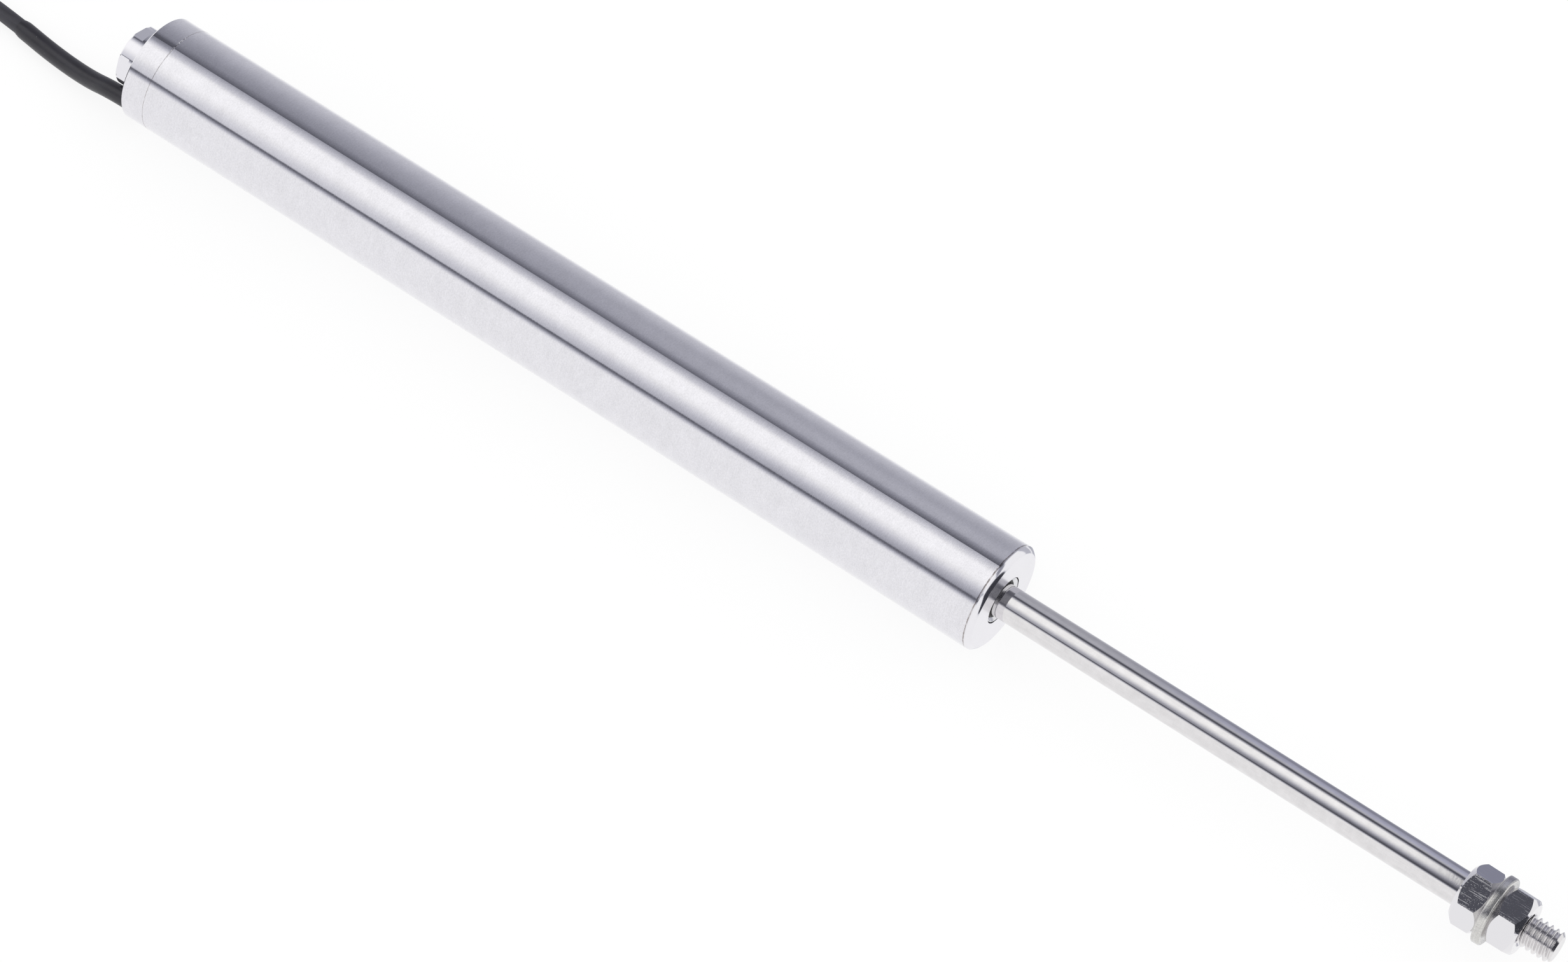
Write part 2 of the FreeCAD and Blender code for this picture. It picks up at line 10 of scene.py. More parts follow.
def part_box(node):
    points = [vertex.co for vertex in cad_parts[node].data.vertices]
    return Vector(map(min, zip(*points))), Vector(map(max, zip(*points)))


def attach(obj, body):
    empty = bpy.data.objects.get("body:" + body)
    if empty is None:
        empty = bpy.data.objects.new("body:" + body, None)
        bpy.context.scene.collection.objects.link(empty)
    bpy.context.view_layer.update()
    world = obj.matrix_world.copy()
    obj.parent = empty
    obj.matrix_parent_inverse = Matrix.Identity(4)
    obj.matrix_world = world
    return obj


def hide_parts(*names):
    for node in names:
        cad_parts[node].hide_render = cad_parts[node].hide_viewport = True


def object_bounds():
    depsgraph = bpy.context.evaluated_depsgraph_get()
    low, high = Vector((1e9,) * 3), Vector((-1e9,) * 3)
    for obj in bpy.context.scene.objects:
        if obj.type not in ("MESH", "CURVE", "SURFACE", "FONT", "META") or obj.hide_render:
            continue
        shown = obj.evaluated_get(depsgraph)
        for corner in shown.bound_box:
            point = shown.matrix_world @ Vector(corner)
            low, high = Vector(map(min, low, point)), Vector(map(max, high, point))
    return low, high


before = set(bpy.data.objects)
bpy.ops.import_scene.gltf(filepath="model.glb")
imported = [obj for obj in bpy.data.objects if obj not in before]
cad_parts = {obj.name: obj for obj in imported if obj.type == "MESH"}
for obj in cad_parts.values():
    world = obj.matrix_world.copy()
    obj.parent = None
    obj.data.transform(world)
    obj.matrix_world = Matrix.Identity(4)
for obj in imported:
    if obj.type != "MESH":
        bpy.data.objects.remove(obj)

bl_info = {
    "name": "Displacement Sensor",
    "version": (1, 0, 0),
    "blender": (4, 5, 0),
    "location": "3D View > Sidebar > Sensor",
    "description": "Finishes, thread, cable and studio of a tubular displacement sensor",
    "category": "Object",
}

MM = 0.001
FULL_TURN = 2 * math.pi
ORIGIN = Vector((0, 0, 0))
X_AXIS = Vector((1, 0, 0))
# Vertices that lie closer than this are joined
WELD_DISTANCE = 1e-7
# The rod's finish changes to the thread's this far behind the front nut's face, where the nut hides it
NUT_COVER = 2 * MM

CAD_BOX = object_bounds()
FLOOR = CAD_BOX[0].z
REAR_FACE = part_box("rear_end_cap")[0].x
FRONT_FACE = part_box("front_end_cap")[1].x
REAR_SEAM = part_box("outer_tube")[0].x
FRONT_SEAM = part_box("outer_tube")[1].x
BODY_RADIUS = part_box("outer_tube")[1].z
THREAD_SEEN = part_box("front_nut")[1].x - NUT_COVER


def middle(node):
    """The centre of a node's box."""
    low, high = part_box(node)
    return (low + high) / 2


# Sizes and colours that a user would change


class SteelSettings(bpy.types.PropertyGroup):
    body_color: FloatVectorProperty(
        name="Body", description="Colour of the ground body", subtype="COLOR", default=(0.83, 0.82, 0.855))
    rod_color: FloatVectorProperty(
        name="Rod", description="Colour of the push rod", subtype="COLOR", default=(0.78, 0.765, 0.77))
    nut_color: FloatVectorProperty(
        name="Nuts", description="Colour of the bright nuts", subtype="COLOR", default=(0.80, 0.79, 0.81))
    washer_color: FloatVectorProperty(
        name="Washer", description="Colour of the turned washer", subtype="COLOR", default=(0.66, 0.65, 0.63))
    seam_color: FloatVectorProperty(
        name="Seams", description="Colour of the joints at the caps", subtype="COLOR",
        default=(0.20, 0.16, 0.14))
    seam_width: FloatProperty(
        name="Seam width", description="Width of the joint line at a cap", default=0.1 * MM, unit="LENGTH")


class ThreadSettings(bpy.types.PropertyGroup):
    pitch: FloatProperty(
        name="Pitch", description="Advance of the thread in one turn", default=1.1 * MM, unit="LENGTH")
    depth: FloatProperty(
        name="Depth", description="Depth of the thread's groove", default=0.62 * MM, unit="LENGTH")
    last_crest: FloatProperty(
        name="Last crest", description="From the free end back to a crest, at the far side of the rod",
        default=0.55 * MM, unit="LENGTH")
    last_crest_turn: FloatProperty(
        name="Last crest's turn", description="Where round the rod that crest is measured",
        default=math.radians(26), unit="ROTATION")
    past_end: FloatProperty(
        name="Past the end", description="How far the thread reaches past the modelled rod", default=0.8 * MM,
        unit="LENGTH")
    tip_chamfer: FloatProperty(
        name="Tip chamfer", description="Chamfer on the thread's free end", default=0.62 * MM, unit="LENGTH")
    steps: IntProperty(
        name="Steps", description="Faces round one turn of the thread", default=128, min=24)
    hidden_reach: FloatProperty(
        name="Hidden end", description="From the body's middle forward to where the finely turned rod starts",
        default=60 * MM, unit="LENGTH")
    shoulder_step: FloatProperty(
        name="Shoulder", description="Least step in radius at the thread's shoulder",
        default=0.1 * MM, unit="LENGTH")


class NutSettings(bpy.types.PropertyGroup):
    flats: FloatProperty(
        name="Flats", description="Distance across a nut's flats", default=10.3 * MM, unit="LENGTH")
    rear_place: FloatProperty(
        name="Rear nut's place", description="From the modelled nut's rear face to the seen one's",
        default=0.3 * MM, unit="LENGTH")
    washer_place: FloatProperty(
        name="Washer's place", description="From the modelled washer to the seen one", default=0.5 * MM,
        unit="LENGTH")
    front_place: FloatProperty(
        name="Front nut's place", description="From the modelled nut's front face to the seen one's",
        default=0.65 * MM, unit="LENGTH")
    washer_growth: FloatProperty(
        name="Washer growth", description="How much further out the washer's rim lies", default=0.18 * MM,
        unit="LENGTH")
    face_inset: FloatProperty(
        name="Face inset", description="From a flat in to the edge of the nut's face", default=0.38 * MM,
        unit="LENGTH")
    countersink: FloatProperty(
        name="Countersink", description="Size of the bevel at the thread's mouth", default=0.35 * MM,
        unit="LENGTH")
    edge_round: FloatProperty(
        name="Edge round", description="Radius on a nut's long edges", default=0.22 * MM, unit="LENGTH")
    taper: FloatProperty(
        name="Taper", description="Share by which a nut narrows towards the tip, for each metre of height",
        default=2.2)
    rear_turn: FloatProperty(
        name="Rear nut", description="Angle round the axis of a corner of the rear nut",
        default=math.radians(80.5), unit="ROTATION")
    front_turn: FloatProperty(
        name="Front nut", description="Angle round the axis of a corner of the front nut",
        default=math.radians(119.6), unit="ROTATION")
    plug_flat_turn: FloatProperty(
        name="Plug flats", description="Angle of a spanner flat on the rear plug", default=math.radians(65.2),
        unit="ROTATION")
    plug_flat_depth: FloatProperty(
        name="Plug flat depth", description="Depth of a spanner flat on the rear plug", default=0.5 * MM,
        unit="LENGTH")


class CableSettings(bpy.types.PropertyGroup):
    diameter: FloatProperty(
        name="Diameter", description="Outer diameter of the cable", default=3.05 * MM, unit="LENGTH")
    length: FloatProperty(
        name="Length", description="Length of the cable outside the body", default=2.0, unit="LENGTH")
    sleeve_diameter: FloatProperty(
        name="Sleeve", description="Outer diameter of the shrunk sleeve", default=3.55 * MM, unit="LENGTH")
    sleeve_reach: FloatProperty(
        name="Sleeve reach", description="Sleeve's length behind the rear face", default=31.4 * MM,
        unit="LENGTH")
    coil_bend: FloatProperty(
        name="Coil bend", description="Mean radius of the put-away coil's bends", default=7.8 * MM,
        unit="LENGTH")
    coil_straight: FloatProperty(
        name="Coil side", description="Length of the put-away coil's sides", default=46.6 * MM, unit="LENGTH")
    jacket_color: FloatVectorProperty(
        name="Jacket", description="Colour of the cable's jacket", subtype="COLOR",
        default=(0.034, 0.033, 0.042))
    sleeve_color: FloatVectorProperty(
        name="Sleeve", description="Colour of the shrunk sleeve", subtype="COLOR",
        default=(0.019, 0.018, 0.024))


class StageSettings(bpy.types.PropertyGroup):
    camera_place: FloatVectorProperty(
        name="Camera", description="Where the camera stands", subtype="TRANSLATION",
        default=(0.3572, -0.4195, 0.8479))
    camera_back: FloatVectorProperty(
        name="Camera back", description="Direction from what the camera looks at to the camera",
        subtype="DIRECTION", default=(0.3097, -0.4192, 0.8535))
    lens: FloatProperty(
        name="Lens", description="Focal length on a 36 mm sensor, in millimetres", default=131.6)
    level: FloatProperty(
        name="Level", description="Strength of the plain soft light", default=0.95)
    floor_radius: FloatProperty(
        name="Floor", description="Radius of the pale floor", default=6.0, unit="LENGTH")


SETTINGS = {
    "sensor_steel": SteelSettings,
    "sensor_thread": ThreadSettings,
    "sensor_nuts": NutSettings,
    "sensor_cable": CableSettings,
    "sensor_stage": StageSettings,
}


# Shader graphs


# Outputs of the Texture Coordinate node and of the Light Path node
GENERATED, OBJECT_PLACE = 0, 3
CAMERA_RAY, GLOSSY_RAY, THROUGH_RAY = 0, 3, 6
DEGREES = 180 / math.pi


class Wire:
    """A shader socket that Python's arithmetic works on."""

    def __init__(self, graph, socket):
        self.graph = graph
        self.socket = socket

    def __add__(self, other):
        return self.graph.math("ADD", self, other)

    def __sub__(self, other):
        return self.graph.math("SUBTRACT", self, other)

    def __rsub__(self, other):
        return self.graph.math("SUBTRACT", other, self)

    def __mul__(self, other):
        return self.graph.math("MULTIPLY", self, other)

    def __truediv__(self, other):
        return self.graph.math("DIVIDE", self, other)

    def __abs__(self):
        return self.graph.math("ABSOLUTE", self)

    __radd__ = __add__
    __rmul__ = __mul__

    def rise(self, start, end):
        """0 below start, 1 above end, and smooth between them. With end below start it falls."""
        first, last = (0.0, 1.0) if start < end else (1.0, 0.0)
        return self.graph.add(
            "ShaderNodeMapRange", {"interpolation_type": "SMOOTHSTEP"},
            {0: self, 1: min(start, end), 2: max(start, end), 3: first, 4: last})[0]

    def between(self, start, end, soft):
        """1 from start to end, with soft edges outside them."""
        return self.rise(start - soft, start) * self.rise(end + soft, end)


class Graph:
    """A node tree, and the one method that adds nodes to it."""

    def __init__(self, tree):
        self.tree = tree
        tree.nodes.clear()

    def add(self, kind, settings=None, sockets=None):
        """Adds a node, sets it up, feeds its sockets and returns its outputs."""
        node = self.tree.nodes.new(kind)
        for name, value in (settings or {}).items():
            setattr(node, name, value)
        for name, value in (sockets or {}).items():
            if isinstance(value, Wire):
                self.tree.links.new(value.socket, node.inputs[name])
            else:
                node.inputs[name].default_value = value
        return [Wire(self, socket) for socket in node.outputs]

    def math(self, operation, *values):
        return self.add("ShaderNodeMath", {"operation": operation}, dict(enumerate(values)))[0]

    def vector(self, operation, *values):
        return self.add("ShaderNodeVectorMath", {"operation": operation}, dict(enumerate(values)))

    def place(self):
        """The point on the surface, in metres, in the part's own frame."""
        return self.add("ShaderNodeTexCoord")[OBJECT_PLACE]

    def split(self, vector):
        return self.add("ShaderNodeSeparateXYZ", None, {0: vector})

    def join(self, x, y, z):
        return self.add("ShaderNodeCombineXYZ", None, {0: x, 1: y, 2: z})[0]

    def noise(self, vector, scale, detail=2.0, rough=0.5):
        """Noise from 0 to 1. scale is features a metre, or one number for each axis."""
        if isinstance(scale, (int, float)):
            scale = (scale, scale, scale)
        stretched = self.vector("MULTIPLY", vector, scale)[0]
        return self.add(
            "ShaderNodeTexNoise", None,
            {"Vector": stretched, "Scale": 1.0, "Detail": detail, "Roughness": rough})[0]

    def blend(self, factor, first, second):
        """A colour between two others."""
        return self.add(
            "ShaderNodeMix", {"data_type": "RGBA"},
            {0: factor, 6: opaque(first), 7: opaque(second)})[2]

    def bump(self, height, distance):
        return self.add("ShaderNodeBump", None, {"Height": height, "Distance": distance, "Strength": 1.0})[0]


def opaque(color):
    """A colour with its alpha, or a wire as it is."""
    if isinstance(color, Wire):
        return color
    return (*color[:3], 1.0)


def finish_material(name, build):
    """A material whose surface is what build(graph) says: the principled shader's sockets."""
    material = bpy.data.materials.new(name)
    material.use_nodes = True
    graph = Graph(material.node_tree)
    sockets = build(graph)
    sockets["Base Color"] = opaque(sockets["Base Color"])
    shader = graph.add("ShaderNodeBsdfPrincipled", None, sockets)[0]
    graph.add("ShaderNodeOutputMaterial", None, {"Surface": shader})
    return material


def dress(material, *nodes):
    """Gives CAD nodes a material."""
    for node in nodes:
        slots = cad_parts[node].data.materials
        slots.clear()
        slots.append(material)


# Metals


# How much wider the front joint's line is than the rear one's
FRONT_JOINT_SHARE = 1.8
# Radii at which a nut's long edges start to look worn and are worn fully, as shares of its flats
WORN_FROM, WORN_FULLY = 0.553, 0.565
COPPER_WIRE = 0.12 * MM


def shades(color, low, high):
    """A darker and a paler version of a colour."""
    return tuple(channel * low for channel in color), tuple(channel * high for channel in color)


def along_and_out(graph, place):
    """How far a point lies along the axis, and how far out from it."""
    x, y, z = graph.split(place)
    return x, graph.vector("LENGTH", graph.join(0.0, y, z))[1]


def joint_line(graph, place, x, at, width):
    """1 on a thin, broken, wandering line round the axis at one place along it."""
    wander = graph.noise(place, 700, 3.0, 0.7)
    broken = graph.noise(place, 1300, 3.0, 0.7)
    distance = abs(x - at + (wander - 0.5) * width)
    return distance.rise(width, width * 0.3) * (broken.rise(0.3, 0.6) * 0.6 + 0.4)


def joint_nick_glints(graph, place, x, z, at, width):
    """1 on small nicks that a joint has along the top of the body, painted white there as glints: painted
    highlights on real nicks.
    """
    chip_glints = graph.noise(place, (2600, 1500, 1500), 2.0, 0.6).rise(0.52, 0.6)
    return abs(x - at).rise(width * 1.7, width) * chip_glints * z.rise(BODY_RADIUS * 0.8, BODY_RADIUS * 0.93)


def ground_steel(graph):
    """Body steel, ground round and round, with the joints at its ends."""
    steel = bpy.context.scene.sensor_steel
    place = graph.place()
    x, y, z = graph.split(place)
    grain = graph.noise(place, (8000, 500, 500), 3.0, 0.65)
    speck = graph.noise(place, (4200, 3000, 3000), 2.0, 0.6)
    blotch = graph.noise(place, (420, 260, 260), 4.0, 0.6)
    width = steel.seam_width
    rear = joint_line(graph, place, x, REAR_SEAM, width)
    front = joint_line(graph, place, x, FRONT_SEAM, width * FRONT_JOINT_SHARE)
    # Painted highlights: nicks at the rear joint, painted white as glints along the top of the body only
    nick_glints = joint_nick_glints(graph, place, x, z, REAR_SEAM, width)
    joints = graph.math("MAXIMUM", rear * 0.7, front)
    tone = (grain - 0.5) * 0.7 + (speck - 0.5) * 1.1 + (blotch - 0.5) * 0.5 + 0.5
    dark, pale = shades(steel.body_color, 0.82, 1.1)
    color = graph.blend(tone, dark, pale)
    color = graph.blend(joints * 0.8, color, steel.seam_color)
    height = grain * 0.8 + speck * 0.5 + blotch * 0.5 - joints * 2.0 + nick_glints * 6.0
    return {
        # Painted glints: the joint's nicks on top of the body are painted white
        "Base Color": graph.blend(nick_glints, color, (1.0, 1.0, 1.0)),
        "Metallic": 1.0,
        "Roughness": 0.06 + grain * 0.03 + speck * 0.04 + nick_glints * 0.5,
        "Normal": graph.bump(height, 0.003 * MM),
    }


def turned_steel(graph):
    """Front cap and plug, turned: rings about the axis on the flat faces, and a duller front face."""
    steel = bpy.context.scene.sensor_steel
    place = graph.place()
    x, radius = along_and_out(graph, place)
    rings = graph.noise(graph.join(x, radius, 0.0), (3000, 5000, 1), 3.0, 0.6)
    speck = graph.noise(place, 3500, 2.0)
    cloud = graph.noise(place, 350, 3.0)
    joint = joint_line(graph, place, x, FRONT_SEAM, steel.seam_width * FRONT_JOINT_SHARE)
    face = x.rise(FRONT_FACE - 0.06 * MM, FRONT_FACE - 0.01 * MM)
    dark, pale = shades(steel.body_color, 0.94, 1.06)
    color = graph.blend(rings * 0.4 + speck * 0.3 + cloud * 0.3, dark, pale)
    return {
        "Base Color": graph.blend(joint * 0.8, color, steel.seam_color),
        "Metallic": 1.0,
        "Roughness": 0.07 + rings * 0.03 + speck * 0.03 + face * 0.14,
        "Normal": graph.bump(rings - joint * 3.0, 0.002 * MM),
    }


def rod_steel(graph):
    """Ground and polished rod, with faint rubbing marks along it, and a duller cut thread."""
    steel = bpy.context.scene.sensor_steel
    place = graph.place()
    x = graph.split(place)[0]
    grain = graph.noise(place, (6000, 900, 900), 3.0, 0.65)
    rubbed = graph.noise(place, (120, 4200, 4200), 3.0, 0.65)
    blotch = graph.noise(place, (500, 700, 700), 4.0, 0.6)
    threaded = x.rise(THREAD_SEEN, THREAD_SEEN + 0.5 * MM)
    dark, pale = shades(steel.rod_color, 0.88, 1.08)
    tone = (grain - 0.5) * 0.5 + (rubbed - 0.5) * 0.6 + (blotch - 0.5) * 1.3 + 0.5
    return {
        "Base Color": graph.blend(tone, dark, pale),
        "Metallic": 1.0,
        "Roughness": 0.03 + grain * 0.02 + rubbed * 0.02 + threaded * 0.09,
        "Normal": graph.bump((grain * 0.35 + rubbed * 0.2 + blotch * 1.2) * (1 - threaded), 0.0012 * MM),
    }


def bright_plating(graph):
    """Nuts, mirror bright, with scratches along the flats, small dents and worn edges."""
    nuts = bpy.context.scene.sensor_nuts
    place = graph.place()
    radius = along_and_out(graph, place)[1]
    scratches = graph.noise(place, (160, 7000, 7000), 2.0, 0.7).rise(0.62, 0.7)
    dents = graph.noise(place, (6500, 6500, 6500), 1.0, 0.5).rise(0.68, 0.76)
    skin = graph.noise(place, 3800, 3.0, 0.6)
    edge = radius.rise(nuts.flats * WORN_FROM, nuts.flats * WORN_FULLY)
    worn = graph.noise(place, (1800, 4200, 4200), 2.0, 0.7).rise(0.46, 0.6) * edge
    height = scratches * 0.7 + dents * 0.5 + skin * 0.1 + worn * 0.8
    return {
        "Base Color": bpy.context.scene.sensor_steel.nut_color,
        "Metallic": 1.0,
        "Roughness": 0.03 + dents * 0.1 + scratches * 0.08 + worn * 0.1,
        "Normal": graph.bump(height, 0.004 * MM),
    }


def turned_washer(graph):
    """Washer, coarsely turned and tumbled: lines round the rim, and dark pits."""
    steel = bpy.context.scene.sensor_steel
    place = graph.place()
    x, radius = along_and_out(graph, place)
    rings = graph.noise(graph.join(x, radius, 0.0), (5200, 5200, 1), 3.0, 0.65)
    chatter = graph.noise(place, (1300, 6500, 6500), 3.0, 0.7)
    pits = graph.noise(place, 3600, 3.0, 0.7)
    dark, pale = shades(steel.washer_color, 0.72, 1.18)
    tone = (rings - 0.5) * 1.4 + (chatter - 0.5) * 1.2 + (pits - 0.5) * 1.2 + 0.5
    return {
        "Base Color": graph.blend(tone, dark, pale),
        "Metallic": 1.0,
        "Roughness": 0.08 + pits * 0.1,
        "Normal": graph.bump(rings * 0.9 + chatter * 0.9 + pits * 0.7, 0.02 * MM),
    }


def plain_metal(color, rough):
    def build(graph):
        place = graph.place()
        grain = graph.noise(place, (6000, 300, 300), 3.0)
        return {
            "Base Color": graph.blend(grain, color, tuple(c * 0.9 for c in color)),
            "Metallic": 1.0,
            "Roughness": rough + grain * 0.1,
            "Normal": graph.bump(grain, 0.005 * MM),
        }
    return build


def moulded(color, rough):
    def build(graph):
        place = graph.place()
        skin = graph.noise(place, 5000, 3.0)
        return {
            "Base Color": graph.blend(skin, color, tuple(c * 0.8 for c in color)),
            "Roughness": rough + skin * 0.1,
            "Normal": graph.bump(skin, 0.01 * MM),
        }
    return build


def copper_turns(graph):
    """Enamelled wire, wound close about the axis."""
    place = graph.place()
    x = graph.split(place)[0]
    round_wire = abs(graph.math("SINE", x * (math.pi / COPPER_WIRE)))
    tone = graph.noise(place, 900, 3.0)
    return {
        "Base Color": graph.blend(tone, (0.62, 0.24, 0.09), (0.75, 0.36, 0.16)),
        "Metallic": 0.8,
        "Roughness": 0.3 + tone * 0.1,
        "Normal": graph.bump(round_wire, 0.05 * MM),
    }


# Turned pieces


SMOOTH_BELOW = math.radians(30)
BAR_STEPS = 160
FINE_STEPS = 240
ARC_STEPS = 5


def mesh_object(name, bm, material):
    """An object from a bmesh, at the origin."""
    mesh = bpy.data.meshes.new(name)
    bm.to_mesh(mesh)
    bm.free()
    mesh.materials.append(material)
    piece = bpy.data.objects.new(name, mesh)
    bpy.context.scene.collection.objects.link(piece)
    return piece


def mesh_piece(name, bm, material, body):
    """An object from a bmesh, shaded smooth apart from its edges, riding on a body."""
    piece = mesh_object(name, bm, material)
    piece.data.shade_smooth()
    piece.data.set_sharp_from_angle(angle=SMOOTH_BELOW)
    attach(piece, body)
    return piece


def cut_across(bm, x, keep_below, hollow=False):
    """Cuts a closed mesh at one place along the axis, keeps one side and closes it."""
    geometry = bm.verts[:] + bm.edges[:] + bm.faces[:]
    bmesh.ops.bisect_plane(
        bm, geom=geometry, dist=WELD_DISTANCE, plane_co=(x, 0, 0), plane_no=X_AXIS,
        clear_outer=keep_below, clear_inner=not keep_below)
    rim = [edge for edge in bm.edges if edge.is_boundary]
    if hollow:
        bmesh.ops.bridge_loops(bm, edges=rim)
    else:
        bmesh.ops.edgenet_fill(bm, edges=rim)


def node_copy(node):
    """A bmesh of a CAD node's mesh, with its loose triangles joined."""
    bm = bmesh.new()
    bm.from_mesh(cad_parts[node].data)
    bmesh.ops.remove_doubles(bm, verts=bm.verts, dist=WELD_DISTANCE)
    return bm


def turned(corners, steps=FINE_STEPS, ring=False):
    """A closed piece turned about the axis from its (x, radius) corners. A ring's corners form a loop."""
    bm = bmesh.new()
    verts = [bm.verts.new((x, radius, 0.0)) for x, radius in corners]
    after = verts[1:] + verts[:1] if ring else verts[1:]
    edges = [bm.edges.new(pair) for pair in zip(verts, after)]
    bmesh.ops.spin(
        bm, geom=verts + edges, cent=ORIGIN, axis=X_AXIS, angle=FULL_TURN, steps=steps, use_merge=True)
    bmesh.ops.remove_doubles(bm, verts=bm.verts, dist=WELD_DISTANCE)
    bmesh.ops.recalc_face_normals(bm, faces=bm.faces)
    return bm


def rounded(centre_x, centre_radius, size, first_turn, last_turn):
    """Points of a rounded edge: an arc about (centre_x, centre_radius), by degrees from the axis."""
    sweeps = [(last_turn - first_turn) * step / ARC_STEPS for step in range(ARC_STEPS + 1)]
    turns = [math.radians(first_turn + sweep) for sweep in sweeps]
    return [(centre_x + size * math.cos(turn), centre_radius + size * math.sin(turn)) for turn in turns]


def joined(*parts):
    """Several bmeshes as one."""
    whole = bmesh.new()
    for part in parts:
        mesh = bpy.data.meshes.new("part")
        part.to_mesh(mesh)
        part.free()
        whole.from_mesh(mesh)
        bpy.data.meshes.remove(mesh)
    return whole


# Threaded rod


PROFILE_POINTS = 30
CREST_SHARPNESS = 0.05
THREAD_WELD = 1e-6


def crest_height(share):
    """Height of the thread's profile by share of the pitch: 1 on its crest and -0.9 in its round root."""
    wave = math.cos(FULL_TURN * share)
    return wave * (1 - CREST_SHARPNESS) + math.cos(2 * FULL_TURN * share) * CREST_SHARPNESS


def helical_thread(start, end, crest, thread):
    """A closed threaded bar along the axis: one turn of the profile, spun as it advances, and its copies."""
    pitch = thread.pitch
    middle_radius = crest - thread.depth / 2
    crest_place = end - thread.last_crest - pitch * thread.last_crest_turn / FULL_TURN
    first = crest_place - math.ceil((crest_place - start) / pitch + 1) * pitch
    bm = bmesh.new()
    verts = [
        bm.verts.new((
            first + pitch * number / PROFILE_POINTS,
            middle_radius + thread.depth / 2 * crest_height(number / PROFILE_POINTS),
            0.0,
        ))
        for number in range(PROFILE_POINTS + 1)
    ]
    edges = [bm.edges.new(pair) for pair in zip(verts, verts[1:])]
    bmesh.ops.spin(
        bm, geom=verts + edges, cent=ORIGIN, axis=X_AXIS, dvec=X_AXIS * (pitch / thread.steps),
        angle=FULL_TURN, steps=thread.steps)
    one_turn = bm.verts[:] + bm.edges[:] + bm.faces[:]
    for turn in range(1, math.ceil((end - first) / pitch) + 1):
        copied = bmesh.ops.duplicate(bm, geom=one_turn)["geom"]
        moved = [item for item in copied if isinstance(item, bmesh.types.BMVert)]
        bmesh.ops.translate(bm, verts=moved, vec=X_AXIS * (pitch * turn))
    bmesh.ops.remove_doubles(bm, verts=bm.verts, dist=THREAD_WELD)
    cut_across(bm, end, True)
    cut_across(bm, start, False)
    for vert in bm.verts:
        radial = Vector((0, vert.co.y, vert.co.z))
        allowed = crest - thread.tip_chamfer + (end - vert.co.x)
        if radial.length > allowed:
            vert.co = Vector((vert.co.x, 0, 0)) + radial.normalized() * allowed
    bmesh.ops.recalc_face_normals(bm, faces=bm.faces)
    return bm


class OBJECT_OT_sensor_rod(bpy.types.Operator):
    """Makes the push rod with its real thread"""
    bl_idname = "object.sensor_rod"
    bl_label = "Threaded push rod"

    def execute(self, context):
        thread = context.scene.sensor_thread
        in_nut = middle("front_nut").x
        past_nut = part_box("front_nut")[1].x
        in_body = middle("outer_tube").x + thread.hidden_reach
        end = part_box("push_rod")[1].x + thread.past_end
        plain = node_copy("push_rod")
        crest = max(vert.co.z for vert in plain.verts if vert.co.x > past_nut)
        radius = max(vert.co.z for vert in plain.verts)
        shoulder = max(vert.co.x for vert in plain.verts if vert.co.z > crest + thread.shoulder_step)
        cut_across(plain, in_body, True)
        smooth_bar = turned((
            (in_body, 0.0),
            (in_body, radius),
            (shoulder, radius),
            (shoulder + radius - crest, crest),
            (in_nut, crest),
            (in_nut, 0.0),
        ), steps=BAR_STEPS)
        thread_bar = helical_thread(in_nut, end, crest, thread)
        material = finish_material("rod_steel", rod_steel)
        rod = mesh_piece("push_rod_threaded", joined(plain, smooth_bar, thread_bar), material, "plunger")
        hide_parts("push_rod")
        return {"FINISHED"}


# Caps, nuts and washer


NUT_CORNERS = 6
NUT_SECTOR = FULL_TURN / NUT_CORNERS
# How much closer together a nut's steps lie at its corners, from 0 to 1
CORNER_DENSITY = 0.85
THREAD_BORE = 3.0 * MM
PLUG_FLATS = 4
PLUG_SECTOR = FULL_TURN / PLUG_FLATS
PLUG_COLLAR = 2.8 * MM
PLUG_CHAMFER = 0.3 * MM
PLUG_THREAD_STEP = 1.9 * MM
# Two rings of points this far apart give the plug's flats a sharp end at the collar
FLAT_END = 0.01 * MM
LIP_OVERLAP = 0.05 * MM
FRONT_BEVEL = 0.9 * MM
# Half the angle through which the front bevel bows outwards, in degrees
BEVEL_BOW = 12
BORE_GAP = 0.05 * MM
BORE_EDGE = 0.05 * MM
# The seen ring's radius is this much less than the modelled shell's
BEARING_TRIM = 0.1 * MM
# From the ring's outside in to the mouth of its lead-in
BEARING_FACE = 0.14 * MM
BEARING_EDGE = 0.06 * MM
BEARING_STEPS = 200
WASHER_HOLE = 3.2 * MM
WASHER_FRONT_ROUND = 0.4 * MM
WASHER_REAR_ROUND = 0.2 * MM


def facet_radius(flats, edge_round, from_corner):
    """Radius of a hexagon with rounded corners, at an angle from its nearest corner."""
    half = flats / 2
    half_sector = NUT_SECTOR / 2
    from_flat = half_sector - from_corner
    if half * math.tan(from_flat) <= (half - edge_round) * math.tan(half_sector):
        return half / math.cos(from_flat)
    centre = (half - edge_round) / math.cos(half_sector)
    across = centre * math.sin(from_corner)
    return centre * math.cos(from_corner) + math.sqrt(edge_round ** 2 - across ** 2)


